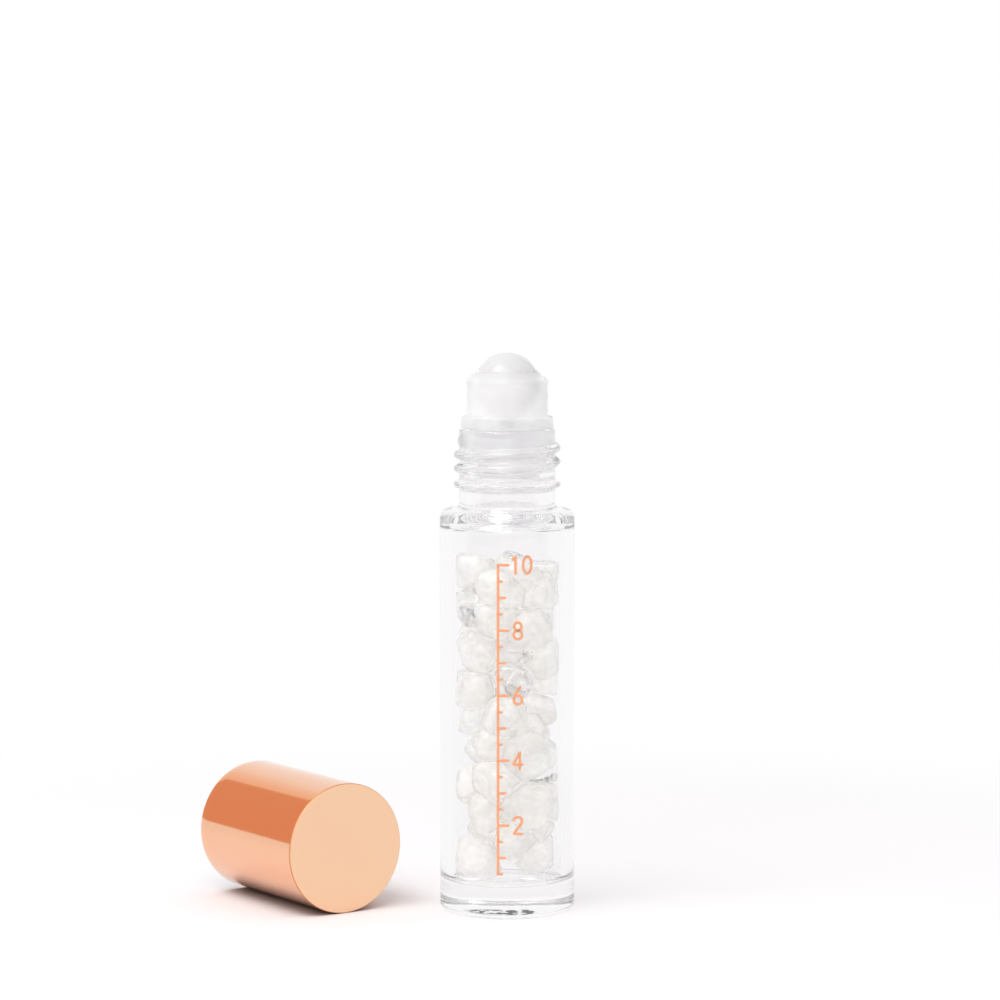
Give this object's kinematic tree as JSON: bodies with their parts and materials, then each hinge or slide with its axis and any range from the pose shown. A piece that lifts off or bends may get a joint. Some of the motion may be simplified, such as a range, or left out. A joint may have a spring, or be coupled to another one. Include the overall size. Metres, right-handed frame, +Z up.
{
  "type": "roll on bottle",
  "caption": "Upright glass roll-on bottle holding quartz chips, with a ball in a plastic holder in its threaded neck, and its metal cap lying beside the foot.",
  "frame": {"origin": "centre of the bottle's foot, on the surface that it stands on", "axes": "+Z up along the bottle's axis, -Y towards the front, +X to the viewer's right; the cap lies on the -X side"},
  "size_m": [0.0564, 0.0324, 0.0828],
  "materials": {
    "clear_glass": "clear polished flint glass with thick walls",
    "natural_plastic": "natural translucent moulded plastic",
    "pearl_ball": "polished translucent white",
    "rose_gold_metal": "polished rose-gold anodised",
    "liner_plastic": "natural moulded plastic",
    "milky_quartz": "tumbled milky and clear quartz",
    "copper_print": "screen-printed copper ink"
  },
  "bodies": {
    "glass_bottle": {"bottle": "clear_glass", "quartz_chip_01": "milky_quartz", "quartz_chip_02": "milky_quartz", "quartz_chip_03": "milky_quartz", "quartz_chip_04": "milky_quartz", "quartz_chip_05": "milky_quartz", "quartz_chip_06": "milky_quartz", "quartz_chip_07": "milky_quartz", "quartz_chip_08": "milky_quartz", "quartz_chip_09": "milky_quartz", "quartz_chip_10": "milky_quartz", "quartz_chip_11": "milky_quartz", "quartz_chip_12": "milky_quartz", "quartz_chip_13": "milky_quartz", "quartz_chip_14": "milky_quartz", "quartz_chip_15": "milky_quartz", "quartz_chip_16": "milky_quartz", "quartz_chip_17": "milky_quartz", "quartz_chip_18": "milky_quartz", "quartz_chip_19": "milky_quartz", "quartz_chip_20": "milky_quartz", "quartz_chip_21": "milky_quartz", "quartz_chip_22": "milky_quartz", "quartz_chip_23": "milky_quartz", "quartz_chip_24": "milky_quartz", "quartz_chip_25": "milky_quartz", "quartz_chip_26": "milky_quartz", "quartz_chip_27": "milky_quartz", "quartz_chip_28": "milky_quartz", "quartz_chip_29": "milky_quartz", "quartz_chip_30": "milky_quartz", "quartz_chip_31": "milky_quartz", "quartz_chip_32": "milky_quartz", "quartz_chip_33": "milky_quartz", "quartz_chip_34": "milky_quartz", "quartz_chip_35": "milky_quartz", "quartz_chip_36": "milky_quartz", "quartz_chip_37": "milky_quartz", "quartz_chip_38": "milky_quartz", "quartz_chip_39": "milky_quartz", "quartz_chip_40": "milky_quartz", "quartz_chip_41": "milky_quartz", "quartz_chip_42": "milky_quartz", "quartz_chip_43": "milky_quartz", "quartz_chip_44": "milky_quartz", "quartz_chip_45": "milky_quartz", "quartz_chip_46": "milky_quartz", "quartz_chip_47": "milky_quartz", "quartz_chip_48": "milky_quartz", "quartz_chip_49": "milky_quartz", "quartz_chip_50": "milky_quartz"},
    "ball_holder": {"roller_housing": "natural_plastic"},
    "ball": {"roller_ball": "pearl_ball"},
    "cap": {"cap_shell": "rose_gold_metal", "cap_liner": "liner_plastic"}
  },
  "joints": [
    {"name": "holder_pull", "type": "slide", "parent": "glass_bottle", "child": "ball_holder", "axis": [0, 0, 1], "range_m": [0, 0.03]},
    {"name": "ball_roll", "type": "hinge", "parent": "ball_holder", "child": "ball", "pos_m": [0, 0, 0.07809], "axis": [1, 0, 0], "continuous": true},
    {"name": "cap_lift", "type": "slide", "parent": "glass_bottle", "child": "cap", "axis": [0, 0, 1], "range_m": [0, 0.1]}
  ]
}
